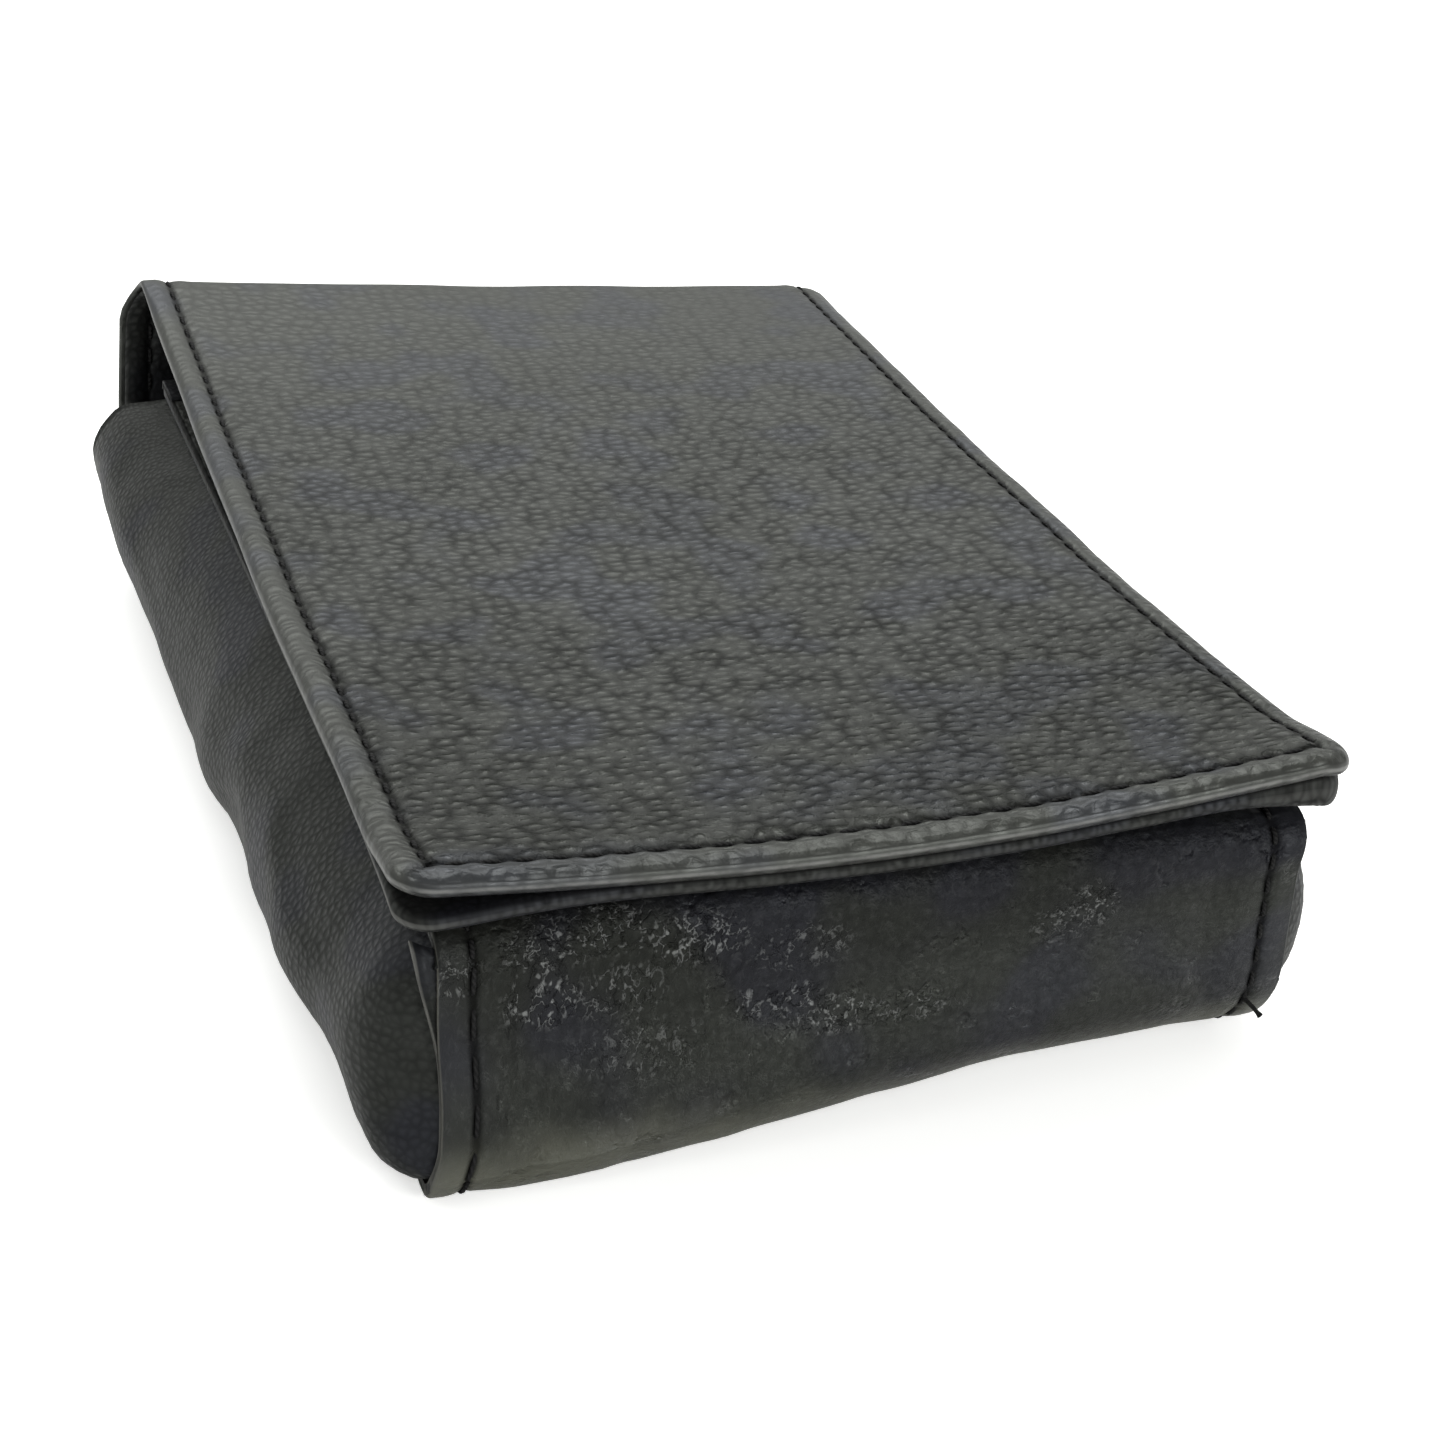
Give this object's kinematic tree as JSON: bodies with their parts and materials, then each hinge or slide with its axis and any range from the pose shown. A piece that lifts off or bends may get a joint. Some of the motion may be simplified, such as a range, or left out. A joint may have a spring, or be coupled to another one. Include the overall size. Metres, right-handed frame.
{
  "type": "leather ever ready case",
  "caption": "Flat folding-camera case in black pebbled leather: a gusseted pouch closed by a stitched cover flap that folds over the mouth, with a concealed press stud.",
  "frame": {"origin": "centre of the case's footprint, on the plane its back rests on", "axes": "+X across the width, +Y from the closed end towards the mouth and the folds, +Z from the back towards the cover flap"},
  "size_m": [0.1332, 0.19, 0.043],
  "materials": {
    "outer_hide": "pebbled, satin",
    "gusset_hide": "soft fine grain, satin",
    "lining_hide": "smooth fine grain, satin",
    "pouch_suede": "napped, matt",
    "card": "matt",
    "thread": "waxed thread",
    "plated_brass": "nickel-plated, satin",
    "spring_steel": "bright"
  },
  "bodies": {
    "pouch": {"body_wrap": "outer_hide", "left_gusset": "gusset_hide", "right_gusset": "gusset_hide", "front_board": "card", "back_board": "card", "pouch_lining": "pouch_suede", "left_gusset_lining": "pouch_suede", "right_gusset_lining": "pouch_suede", "mouth_binding": "outer_hide", "mouth_binding_thread": "thread", "left_seam_thread": "thread", "right_seam_thread": "thread", "snap_stud": "plated_brass", "snap_post": "plated_brass", "back_fold_leather": "outer_hide", "back_fold_lining": "lining_hide"},
    "spine": {"spine_leather": "outer_hide", "spine_lining": "lining_hide", "spine_thread": "thread"},
    "flap": {"front_fold_leather": "outer_hide", "front_fold_lining": "lining_hide", "flap_leather": "outer_hide", "flap_board": "card", "flap_lining": "lining_hide", "flap_thread": "thread", "flap_lining_thread": "thread", "snap_cap": "plated_brass", "snap_socket": "plated_brass", "snap_spring": "spring_steel"}
  },
  "joints": [
    {"name": "spine_fold", "type": "hinge", "parent": "pouch", "child": "spine", "pos_m": [0, 0.0929, 0.0021], "axis": [-1, 0, 0], "range_deg": [0, 170], "deforming": ["back_fold_leather", "back_fold_lining"]},
    {"name": "flap_fold", "type": "hinge", "parent": "spine", "child": "flap", "pos_m": [0, 0.0929, 0.0409], "axis": [-1, 0, 0], "range_deg": [0, 95], "deforming": ["front_fold_leather", "front_fold_lining"]}
  ]
}
